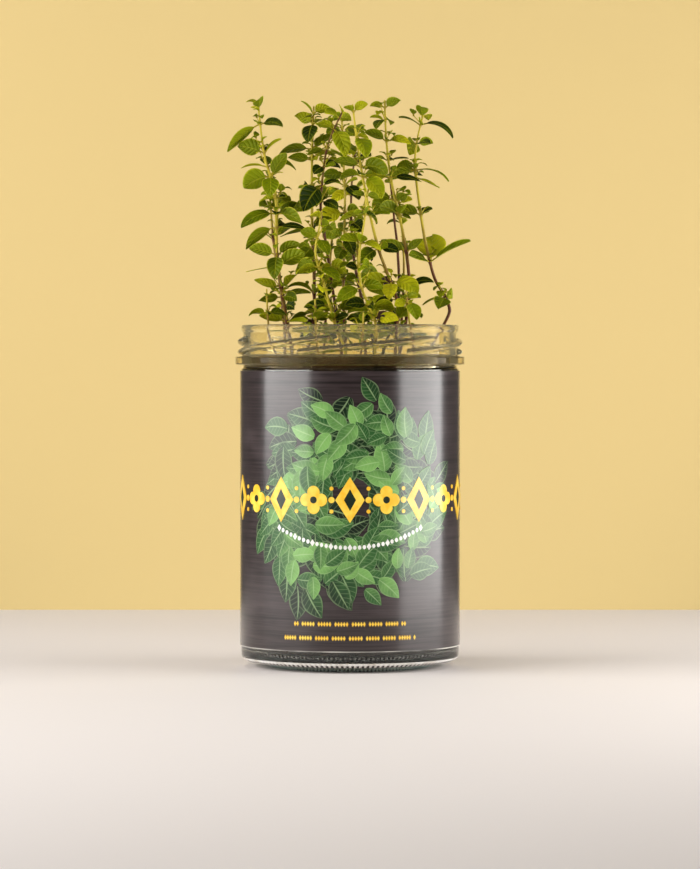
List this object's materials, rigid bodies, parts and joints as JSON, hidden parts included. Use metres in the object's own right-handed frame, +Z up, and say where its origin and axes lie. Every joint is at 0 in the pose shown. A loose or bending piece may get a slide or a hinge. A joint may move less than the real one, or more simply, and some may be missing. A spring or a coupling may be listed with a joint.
{
  "type": "potted herb plant",
  "caption": "Bushy oregano plant with square stems and small egg-shaped leaves, growing in soil in a straight-sided clear glass jar with a threaded neck and a dark paper wrap label.",
  "frame": {"origin": "centre of the jar's foot, on the surface that the jar stands on", "axes": "+Z up along the jar's axis and out of its mouth, -Y to the front of the label, +X to the right seen from the front"},
  "size_m": [0.091, 0.0864, 0.2138],
  "materials": {
    "glass": "clear, smooth",
    "label": "glossy dark print",
    "soil": "dark, crumbly, damp",
    "foliage": "soft, slightly glossy leaves on yellow-green and brown stems"
  },
  "bodies": {
    "root": {"glass_jar": "glass", "paper_label": "label", "potting_soil": "soil", "leafy_stem_01": "foliage", "leafy_stem_02": "foliage", "leafy_stem_03": "foliage", "leafy_stem_04": "foliage", "leafy_stem_05": "foliage", "leafy_stem_06": "foliage", "leafy_stem_07": "foliage", "leafy_stem_08": "foliage", "leafy_stem_09": "foliage", "leafy_stem_10": "foliage", "leafy_stem_11": "foliage", "leafy_stem_12": "foliage", "leafy_stem_13": "foliage", "leafy_stem_14": "foliage", "leafy_stem_15": "foliage", "leafy_stem_16": "foliage", "leafy_stem_17": "foliage", "leafy_stem_18": "foliage", "leafy_stem_19": "foliage"}
  },
  "joints": []
}
